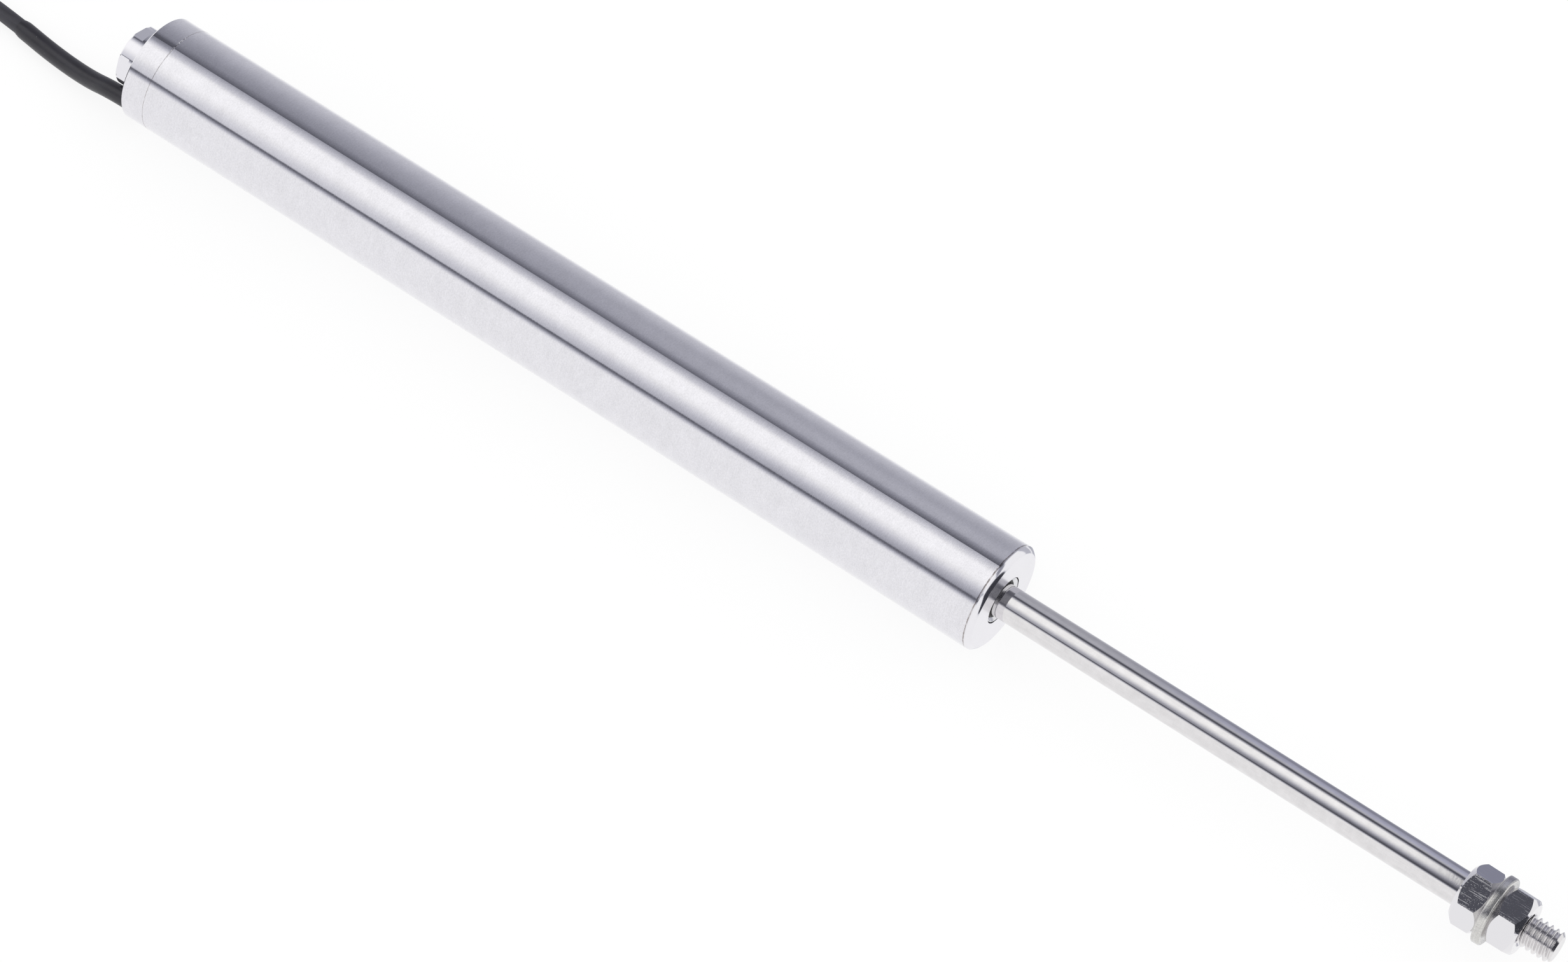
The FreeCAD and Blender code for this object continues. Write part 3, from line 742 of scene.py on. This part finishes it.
def hexagon_nut(start, end, corner_turn, nuts):
    """A nut with bevelled ends and round long edges: a turned ring whose outside is drawn in to six flats."""
    face = nuts.flats / 2 - nuts.face_inset
    sink = nuts.countersink
    outside = nuts.flats
    bm = turned((
        (start + sink, THREAD_BORE),
        (start, THREAD_BORE + sink),
        (start, face),
        (start + sink, outside),
        (end - sink, outside),
        (end, face),
        (end, THREAD_BORE + sink),
        (end - sink, THREAD_BORE),
    ), ring=True)
    for vert in bm.verts:
        turn = math.atan2(vert.co.z, vert.co.y) - corner_turn
        nearest = round(turn / NUT_SECTOR) * NUT_SECTOR
        from_corner = turn - nearest
        from_corner -= CORNER_DENSITY * math.sin(NUT_CORNERS * from_corner) / NUT_CORNERS
        turn = corner_turn + nearest + from_corner
        radius = math.hypot(vert.co.y, vert.co.z)
        x = vert.co.x
        if radius > (face + outside) / 2:
            radius = facet_radius(nuts.flats, nuts.edge_round, abs(from_corner))
            bevel = radius - face
            x = start + bevel if x < (start + end) / 2 else end - bevel
        radius *= 1 - (x - start) * nuts.taper
        vert.co = (x, radius * math.cos(turn), radius * math.sin(turn))
    bmesh.ops.recalc_face_normals(bm, faces=bm.faces)
    return bm


def spanner_plug(nuts):
    """The rear plug: a turned boss whose outer part has four spanner flats."""
    low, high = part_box("rear_plug")
    radius = (high.y - low.y) / 2
    collar = REAR_FACE - PLUG_COLLAR
    inner = radius - PLUG_THREAD_STEP
    bm = turned((
        (low.x, 0.0),
        (low.x, radius - PLUG_CHAMFER),
        (low.x + PLUG_CHAMFER, radius),
        (collar - FLAT_END, radius),
        (collar, radius),
        (REAR_FACE, radius),
        (REAR_FACE, inner),
        (high.x, inner),
        (high.x, 0.0),
    ))
    for vert in bm.verts:
        if vert.co.x > collar - FLAT_END / 2:
            continue
        turn = math.atan2(vert.co.z, vert.co.y) - nuts.plug_flat_turn
        from_flat = turn - round(turn / PLUG_SECTOR) * PLUG_SECTOR
        limit = (radius - nuts.plug_flat_depth) / math.cos(from_flat)
        length = math.hypot(vert.co.y, vert.co.z)
        if length > limit:
            vert.co = (vert.co.x, vert.co.y * limit / length, vert.co.z * limit / length)
    return bm


def front_lip():
    """The front cap's outer end: a rounded bevel outside, and a small broken edge round the bore."""
    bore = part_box("bearing_shell")[1].z + BORE_GAP
    back = FRONT_SEAM + LIP_OVERLAP
    bow = math.radians(BEVEL_BOW)
    reach = FRONT_BEVEL * math.sqrt(0.5) / math.sin(bow)
    inward = reach * math.cos(bow) * math.sqrt(0.5)
    bow_centre = (FRONT_FACE - FRONT_BEVEL / 2 - inward, BODY_RADIUS - FRONT_BEVEL / 2 - inward)
    return turned([
        (back, bore),
        (FRONT_FACE - BORE_EDGE, bore),
        (FRONT_FACE, bore + BORE_EDGE),
    ] + rounded(*bow_centre, reach, 45 - BEVEL_BOW, 45 + BEVEL_BOW) + [
        (back, BODY_RADIUS),
    ], ring=True)


def bearing_ring():
    """The bearing's steel shell, with a wide lead-in at its front."""
    low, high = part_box("bearing_shell")
    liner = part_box("bearing_liner")[1].z
    outside = high.z - BEARING_TRIM
    mouth = outside - BEARING_FACE
    return turned([
        (low.x, liner),
        (high.x - (mouth - liner), liner),
        (high.x, mouth),
        (high.x, outside - BEARING_EDGE),
        (high.x - BEARING_EDGE, outside),
        (low.x, outside),
    ], steps=BEARING_STEPS, ring=True)


def plain_washer(rear, front, nuts):
    """The washer, with a well rounded front edge and a broken rear one."""
    low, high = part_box("washer")
    centre = (low.z + high.z) / 2
    rim = (high.z - low.z) / 2 + nuts.washer_growth
    small = WASHER_REAR_ROUND
    soft = WASHER_FRONT_ROUND
    bm = turned(
        [(rear, WASHER_HOLE)]
        + rounded(rear + small, rim - small, small, 180, 90)
        + rounded(front - soft, rim - soft, soft, 90, 0)
        + [(front, WASHER_HOLE)], ring=True)
    bmesh.ops.translate(bm, verts=bm.verts, vec=(0, 0, centre))
    return bm


class OBJECT_OT_sensor_machined(bpy.types.Operator):
    """Makes the front cap, bearing ring, plug, nuts and washer as finely as they are seen"""
    bl_idname = "object.sensor_machined"
    bl_label = "Caps, nuts and washer"

    def execute(self, context):
        nuts = context.scene.sensor_nuts
        rear_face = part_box("rear_nut")[0].x + nuts.rear_place
        washer_rear, washer_front = (corner.x + nuts.washer_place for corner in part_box("washer"))
        front_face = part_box("front_nut")[1].x + nuts.front_place
        cap = node_copy("front_end_cap")
        cut_across(cap, FRONT_SEAM + LIP_OVERLAP, True, hollow=True)
        rear_nut = hexagon_nut(rear_face, washer_rear, nuts.rear_turn, nuts)
        front_nut = hexagon_nut(washer_front, front_face, nuts.front_turn, nuts)
        washer = plain_washer(washer_rear, washer_front, nuts)
        steel = finish_material("turned_steel", turned_steel)
        bright = finish_material("bright_plating", bright_plating)
        bearing = finish_material("bearing_steel", plain_metal((0.78, 0.78, 0.8), 0.12))
        dull = finish_material("turned_washer", turned_washer)
        made = (
            ("front_cap_turned", joined(cap, front_lip()), steel, "housing", "front_end_cap", "turned_steel"),
            ("rear_plug_turned", spanner_plug(nuts), steel, "housing", "rear_plug", "turned_steel"),
            ("bearing_ring", bearing_ring(), bearing, "housing", "bearing_shell", "bearing_steel"),
            ("rear_nut_formed", rear_nut, bright, "plunger", "rear_nut", "nut_plating"),
            ("front_nut_formed", front_nut, bright, "plunger", "front_nut", "nut_plating"),
            ("washer_turned", washer, dull, "plunger", "washer", "washer_steel"),
        )
        for name, bm, material, body, node, slot in made:
            piece = mesh_piece(name, bm, material, body)
            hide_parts(node)
        dress(bright, "core_lock_nut")
        return {"FINISHED"}


# Finishes of the modelled pieces


class OBJECT_OT_sensor_metal(bpy.types.Operator):
    """Gives the body and the bearing's film their finishes"""
    bl_idname = "object.sensor_metal"
    bl_label = "Metal finishes"

    def execute(self, context):
        dress(finish_material("ground_steel", ground_steel), "outer_tube", "rear_end_cap")
        dress(finish_material("bearing_film", moulded((0.05, 0.05, 0.05), 0.5)), "bearing_liner")
        return {"FINISHED"}


class OBJECT_OT_sensor_inside(bpy.types.Operator):
    """Gives the sealed pieces inside the body their finishes"""
    bl_idname = "object.sensor_inside"
    bl_label = "Inner finishes"

    def execute(self, context):
        finishes = (
            ("bore_steel", plain_metal((0.75, 0.75, 0.76), 0.2), "bore_tube", "bore_plug", "core_stud"),
            ("core_alloy", plain_metal((0.45, 0.43, 0.41), 0.35), "core"),
            ("shield_iron", plain_metal((0.5, 0.5, 0.5), 0.4), "magnetic_shield"),
            ("guide_polymer", moulded((0.85, 0.85, 0.82), 0.4), "front_guide_ring", "rear_guide_ring"),
            ("former_polymer", moulded((0.05, 0.05, 0.05), 0.4), "coil_former", "terminal_plate",
             "board_carrier"),
            ("copper_turns", copper_turns, "primary_winding", "rear_secondary_winding",
             "front_secondary_winding"),
            ("winding_tape", moulded((0.8, 0.5, 0.1), 0.25), "winding_tape"),
            ("gilt_brass", plain_metal((0.85, 0.65, 0.3), 0.2), "terminal_pins", "cable_ferrule"),
            ("solder_mask", moulded((0.02, 0.2, 0.07), 0.3), "circuit_board"),
            ("chip_package", moulded((0.03, 0.03, 0.03), 0.5), "board_chips"),
            ("drawn_can", plain_metal((0.8, 0.8, 0.82), 0.25), "board_capacitors"),
            ("wire_insulation", moulded((0.7, 0.7, 0.66), 0.35), "inner_wires"),
        )
        for name, build, *nodes in finishes:
            dress(finish_material(name, build), *nodes)
        return {"FINISHED"}


# Cable


COIL_COLUMNS = 4
COIL_LAYERS = 4
# Places of a side's control points along the coil, in millimetres from its middle
SIDE_STATIONS = (20.0, 12.0, 6.0, 2.2, -2.2, -6.0, -12.0, -20.0)
BEND_POINTS = 6
# From one layer of the coil up to the next, in cable diameters
LAYER_PITCH = math.sin(math.radians(60))
TIE_REACH = 3.0 * MM
TIE_SQUEEZE = 0.6 * MM
SLEEVE_LIP = 0.08 * MM
SLEEVE_POINTS = 9
SLEEVE_STEPS = 10
SLEEVE_RING = 6
LEAD_COLORS = {
    "white": (0.8, 0.8, 0.78),
    "green": (0.03, 0.3, 0.09),
    "red": (0.55, 0.03, 0.03),
    "blue": (0.03, 0.1, 0.5),
}


def smooth(value):
    """A smooth step from 0 to 1."""
    value = min(max(value, 0.0), 1.0)
    return value * value * (3 - 2 * value)


def coil_seats(diameter):
    """Where each turn lies in the bundle: its offset from the mean radius, and its layer."""
    seats = []
    for layer in range(COIL_LAYERS):
        columns = COIL_COLUMNS - layer % 2
        offsets = [(column - (columns - 1) / 2) * diameter for column in range(columns)]
        if layer % 2 == 0:
            offsets.reverse()
        seats += [(offset, layer) for offset in offsets]
    return seats


def half_turn(cable, seat, after):
    """A turn's far side, heading backwards, and the bend in which it steps to the next seat."""
    diameter = cable.diameter
    layer_pitch = diameter * LAYER_PITCH
    bottom = FLOOR + diameter / 2
    offset, layer = seat
    points = []
    for station in SIDE_STATIONS:
        squeeze = TIE_SQUEEZE if abs(station * MM) < TIE_REACH else 0.0
        side = cable.coil_bend + offset - squeeze
        points.append(Vector((station * MM, side, bottom + layer * layer_pitch + squeeze)))
    for number in range(BEND_POINTS):
        done = (number + 0.5) / BEND_POINTS
        step = smooth(done)
        hump = 0.0 if seat == after else math.sin(math.pi * done) * layer * (diameter - layer_pitch)
        level = layer + (after[1] - layer) * step
        radius = cable.coil_bend + offset + (after[0] - offset) * step
        radius = radius / math.cos(math.pi / BEND_POINTS / 2)
        angle = math.pi * (0.5 + done)
        points.append(Vector((
            radius * math.cos(angle) - cable.coil_straight / 2,
            radius * math.sin(angle),
            bottom + level * layer_pitch + hump,
        )))
    return points


def coil_points(cable):
    """Control points of the coil's turns, counter-clockwise from its far side's front end."""
    seats = coil_seats(cable.diameter)
    points = []
    for seat, after in zip(seats, seats[1:]):
        points += half_turn(cable, seat, after)
        points += [Vector((-x, -y, z)) for x, y, z in half_turn(cable, after, after)]
    points += half_turn(cable, seats[-1], seats[-1])[:len(SIDE_STATIONS)]
    centre = middle("cable_coil")
    return [point + Vector((centre.x, centre.y, 0)) for point in points]


def cable_exit():
    """The middle of the cable where it leaves the rear face."""
    hole = middle("cable_ferrule")
    return Vector((REAR_FACE, hole.y, hole.z))


def cable_points(cable):
    """The whole cable's route: out of the rear face, down, round the coil and off its top."""
    exit_point = cable_exit()
    low = FLOOR + cable.diameter / 2
    centre = middle("cable_coil")
    inlet = cable.coil_bend + cable.diameter * (COIL_COLUMNS - 1) / 2
    lead_in = [
        (-5.5, exit_point.y / MM, exit_point.z / MM),
        (-12.5, -5.8, low / MM + 1.7),
        (-22.0, -4.8, low / MM + 0.5),
        (-31.5, -3.4, low / MM + 0.2),
        (-45.5, -2.3, low / MM),
        (-57.0, (centre.y + inlet) / MM, low / MM),
    ]
    points = [exit_point]
    points += [Vector((REAR_FACE + x * MM, y * MM, z * MM)) for x, y, z in lead_in]
    points += coil_points(cable)
    outlet = inlet - cable.diameter / 2
    top = low + cable.diameter * LAYER_PITCH * (COIL_LAYERS - 1)
    tail = [
        (-26.3, outlet / MM, top / MM + 0.45),
        (-33.5, 10.7, top / MM + 1.0),
        (-42.6, 9.6, top / MM - 3.2),
        (-50.6, 7.6, low / MM + 0.28),
        (-58.4, 4.4, low / MM),
    ]
    points += [Vector((centre.x + x * MM, centre.y + y * MM, z * MM)) for x, y, z in tail]
    return points


def round_curve(name, kind, points, radius, ring, resolution=12):
    """A curve object with a round section along its points."""
    curve = bpy.data.curves.new(name, "CURVE")
    curve.dimensions = "3D"
    curve.resolution_u = resolution
    curve.bevel_depth = radius
    curve.bevel_resolution = ring
    curve.use_fill_caps = True
    spline = curve.splines.new(kind)
    spline.points.add(len(points) - 1)
    for slot, point in zip(spline.points, points):
        slot.co = (*point, 1.0)
    spline.use_smooth = True
    piece = bpy.data.objects.new(name, curve)
    bpy.context.scene.collection.objects.link(piece)
    return piece


def nurbs_curve(name, points, radius, ring=4, resolution=6):
    """A round NURBS tube along control points."""
    piece = round_curve(name, "NURBS", points, radius, ring, resolution)
    spline = piece.data.splines[0]
    spline.order_u = 3
    spline.use_endpoint_u = True
    return piece


def line_of(points, resolution):
    """Points along the smooth line of a route's control points."""
    bare = nurbs_curve("bare_line", points, 0.0, 0, resolution)
    bare.data.use_fill_caps = False
    mesh = bpy.data.meshes.new_from_object(bare)
    line = [vert.co.copy() for vert in mesh.vertices]
    bpy.data.meshes.remove(mesh)
    bpy.data.curves.remove(bare.data)
    return line


def poly_tube(name, points, radii, ring):
    """A round tube whose radius changes along its points."""
    piece = round_curve(name, "POLY", points, 1.0, ring)
    for slot, radius in zip(piece.data.splines[0].points, radii):
        slot.radius = radius
    return piece


def jacket(color, rough, grain_scale):
    """Matt extruded polymer, with faint drawing lines along it that are painted paler, partly as painted
    sheen streaks, and rubbed spots.
    """
    def build(graph):
        place = graph.place()
        skin = graph.noise(place, grain_scale, 3.0, 0.6)
        streak_sheen = graph.noise(place, (140, 700, 700), 3.0, 0.6)
        dust = graph.noise(place, 1900, 1.0).rise(0.8, 0.83)
        pale = tuple(channel * 1.5 for channel in color)
        # Paler streaks along the length: partly drawing lines, partly painted sheen
        tone = graph.blend(streak_sheen.rise(0.3, 0.7), color, pale)
        return {
            "Base Color": graph.blend(dust, tone, (0.35, 0.34, 0.33)),
            "Roughness": rough + skin * 0.12 + streak_sheen * 0.08,
            "Normal": graph.bump(skin * 0.2 + streak_sheen, 0.05 * MM),
        }
    return build


class OBJECT_OT_sensor_cable(bpy.types.Operator):
    """Makes the cable, its put-away coil and its sleeve"""
    bl_idname = "object.sensor_cable"
    bl_label = "Cable and sleeve"

    def execute(self, context):
        cable = context.scene.sensor_cable
        points = cable_points(cable)
        cord = nurbs_curve("sensor_cable", points, cable.diameter / 2)
        cord.data.materials.append(finish_material("cable_jacket", jacket(cable.jacket_color, 0.4, 3000)))
        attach(cord, "housing")
        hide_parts("cable", "cable_coil", "cable_tail")

        sleeve_end = REAR_FACE - cable.sleeve_reach
        line = [point for point in line_of(points[:SLEEVE_POINTS], SLEEVE_STEPS) if point.x > sleeve_end]
        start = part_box("cable_sleeve")[1].x
        line.insert(0, Vector((start, line[0].y, line[0].z)))
        radii = [cable.sleeve_diameter / 2] * len(line)
        radii[-1] = cable.diameter / 2 + SLEEVE_LIP
        sleeve = poly_tube("shrunk_sleeve", line, radii, SLEEVE_RING)
        skin = finish_material("sleeve_polymer", jacket(cable.sleeve_color, 0.27, 1500))
        sleeve.data.materials.append(skin)
        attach(sleeve, "housing")
        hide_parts("cable_sleeve")

        dress(finish_material("tie_nylon", moulded((0.03, 0.03, 0.03), 0.4)), "coil_tie")
        for name, color in LEAD_COLORS.items():
            dress(finish_material("insulation_" + name, moulded(color, 0.3)), "lead_" + name)
        tinned = finish_material("tinned_copper", plain_metal((0.7, 0.7, 0.68), 0.25))
        dress(tinned, "lead_tips", "screen_tail")
        return {"FINISHED"}


# Stage


SENSOR_WIDTH = 36.0
CLIP_NEAR, CLIP_FAR = 0.01, 50.0
FLOOR_CORNERS = 64
FLOOR_GLOW = 1.04
FLOOR_GLOW_SHARE = 0.8


def studio_reflection(graph, direction):
    """What metal sees, by angle round the body's axis and by direction along it.

    A soft box hangs overhead behind the front end. Its far edge is a dark band and its near edge a
    dark line, and the far wall fades down to a pale floor. Ahead of the tip the wall is white, with a
    dark card low down, a dark hollow and the box's edges overhead, and a dim far corner.
    """
    x, y, z = graph.split(direction)
    angle = graph.math("ARCTAN2", z, y) * DEGREES
    front = x.rise(-0.32, -0.17)
    middle_part = x.rise(-0.42, -0.28)
    tip = x.rise(-0.26, -0.18)
    bent = angle + front * 6

    # The far side: pale floor, far wall and the dark band at the soft box's far edge
    far_floor = angle.rise(-20, -58) * 0.41
    far_wall = 0.65 - (angle + middle_part * 8).rise(-30, 60) * 0.36
    far_card = bent.rise(8, 40) * (middle_part * 0.21 + tip * 0.1 - front * 0.07)
    dim_front = 1 - x.rise(-0.30, -0.20) * bent.rise(18, -6) * 0.49
    far_side = (far_floor + far_wall) * dim_front + far_card
    dark_band = (bent + front * 3).rise(47, 60)
    far_side = far_side + (0.10 - far_side) * dark_band

    # The soft box overhead, which fades towards its near edge
    fall = ((bent - 104 + tip * 10) / (tip * 14 + 40)).rise(0, 1)
    box_level = (1 - fall * (middle_part * 0.3 + tip * 0.32 + 0.33)) * 1.1
    box = ((bent - 60.5) / (27.5 - front * 8)).rise(0, 1) * x.rise(-0.1755, -0.179)
    sky = far_side + (box_level - far_side) * box

    # The near side, from the dark line to white, and the floor under the body
    near_side = (angle + front * 3.2).rise(143, 157) * 0.87 + 0.1
    round_axis = sky + (near_side - sky) * bent.rise(141.5, 143)
    under = graph.math("MAXIMUM", angle.rise(-64, -76), angle.rise(179, 180))
    round_axis = round_axis + (0.97 - round_axis) * under

    # Ahead of the tip
    dark_card = x.rise(0.885, 0.915) * y.between(-0.31, 0.43, 0.04) * z.rise(-0.4, -0.3)
    hollow = z.rise(0.4, 0.6) * x.between(0.19, 0.45, 0.04)
    far_corner = y.rise(0.6, 0.75) * x.between(0.2, 0.4, 0.05)
    box_edges = (angle.between(44, 66, 8) * 0.8 + angle.between(132, 142, 4)) * z.rise(0.36, 0.44)
    low_dark = graph.math("MAXIMUM", dark_card * 0.95, hollow * 0.9)
    high_dark = graph.math("MAXIMUM", far_corner * 0.45, box_edges * 0.85)
    ahead = 1 - graph.math("MAXIMUM", low_dark, high_dark)
    return round_axis + (ahead - round_axis) * x.rise(0.05, 0.15)


def studio_world(stage):
    """White to the camera and through glass, a studio to metal, and plain soft light to the rest."""
    world = bpy.data.worlds.new("studio")
    world.use_nodes = True
    world.cycles.sampling_method = "NONE"
    bpy.context.scene.world = world
    graph = Graph(world.node_tree)
    direction = graph.add("ShaderNodeTexCoord")[GENERATED]
    reflection = studio_reflection(graph, direction)
    lights = graph.add("ShaderNodeLightPath")
    glossy = lights[GLOSSY_RAY]
    level = glossy * reflection + (1 - glossy) * stage.level
    seen = graph.math("MAXIMUM", lights[CAMERA_RAY], lights[THROUGH_RAY])
    level = seen + (1 - seen) * level
    cool = graph.math("MAXIMUM", glossy * (1 - reflection), 0.0)
    color = graph.blend(cool, (1.0, 1.0, 1.0), (0.91, 0.93, 1.14))
    x, y = graph.split(direction)[:2]
    far_tip = glossy * x.between(-0.22, -0.1, 0.03) * y.rise(0.75, 0.9)
    color = graph.blend(far_tip, color, (0.88, 0.9, 1.13))
    background = graph.add("ShaderNodeBackground", None, {"Color": color, "Strength": level})[0]
    graph.add("ShaderNodeOutputWorld", None, {"Surface": background})


def floor_material():
    """Pale floor: nearly white to the camera, with a soft shadow."""
    material = bpy.data.materials.new("pale_floor")
    material.use_nodes = True
    material.cycles.emission_sampling = "NONE"
    graph = Graph(material.node_tree)
    matt = graph.add("ShaderNodeBsdfDiffuse", None, {"Color": (0.95, 0.95, 0.95, 1)})[0]
    glow = graph.add("ShaderNodeEmission", None, {"Color": (1, 1, 1, 1), "Strength": FLOOR_GLOW})[0]
    lights = graph.add("ShaderNodeLightPath")
    seen = graph.math("MAXIMUM", lights[CAMERA_RAY], lights[GLOSSY_RAY])
    seen = graph.math("MAXIMUM", seen, lights[THROUGH_RAY])
    mixed = graph.add("ShaderNodeMixShader", None, {0: seen * FLOOR_GLOW_SHARE, 1: matt, 2: glow})[0]
    graph.add("ShaderNodeOutputMaterial", None, {"Surface": mixed})
    return material


class OBJECT_OT_sensor_stage(bpy.types.Operator):
    """Sets the pale floor, the soft light and the camera"""
    bl_idname = "object.sensor_stage"
    bl_label = "Stage"

    def execute(self, context):
        scene = context.scene
        stage = scene.sensor_stage
        scene.view_settings.view_transform = "Standard"
        studio_world(stage)

        bm = bmesh.new()
        bmesh.ops.create_circle(
            bm, cap_ends=True, radius=stage.floor_radius, segments=FLOOR_CORNERS,
            matrix=Matrix.Translation((0, 0, FLOOR)))
        floor = mesh_object("floor", bm, floor_material())
        floor.visible_glossy = False

        camera_data = bpy.data.cameras.new("camera")
        camera_data.sensor_width = SENSOR_WIDTH
        camera_data.lens = stage.lens
        camera_data.clip_start = CLIP_NEAR
        camera_data.clip_end = CLIP_FAR
        camera = bpy.data.objects.new("camera", camera_data)
        camera.location = stage.camera_place
        camera.rotation_mode = "QUATERNION"
        camera.rotation_quaternion = (-Vector(stage.camera_back)).to_track_quat("-Z", "Y")
        scene.collection.objects.link(camera)
        scene.camera = camera
        return {"FINISHED"}


class VIEW3D_PT_sensor(bpy.types.Panel):
    """Lists the sensor's sizes, colours and steps"""
    bl_label = "Displacement Sensor"
    bl_idname = "VIEW3D_PT_sensor"
    bl_space_type = "VIEW_3D"
    bl_region_type = "UI"
    bl_category = "Sensor"

    def draw(self, context):
        layout = self.layout
        for name, group in SETTINGS.items():
            settings = getattr(context.scene, name)
            for prop in group.__annotations__:
                layout.prop(settings, prop)
        for operator in OPERATORS:
            layout.operator(operator.bl_idname)


OPERATORS = (
    OBJECT_OT_sensor_metal,
    OBJECT_OT_sensor_machined,
    OBJECT_OT_sensor_rod,
    OBJECT_OT_sensor_inside,
    OBJECT_OT_sensor_cable,
    OBJECT_OT_sensor_stage,
)
CLASSES = (*SETTINGS.values(), *OPERATORS, VIEW3D_PT_sensor)


def register():
    for made in CLASSES:
        bpy.utils.register_class(made)
    for name, group in SETTINGS.items():
        setattr(bpy.types.Scene, name, PointerProperty(type=group))


def unregister():
    for name in SETTINGS:
        delattr(bpy.types.Scene, name)
    for made in reversed(CLASSES):
        bpy.utils.unregister_class(made)


def main():
    register()
    bpy.ops.object.sensor_metal()
    bpy.ops.object.sensor_machined()
    bpy.ops.object.sensor_rod()
    bpy.ops.object.sensor_inside()
    bpy.ops.object.sensor_cable()
    bpy.ops.object.sensor_stage()


if __name__ == "__main__":
    main()
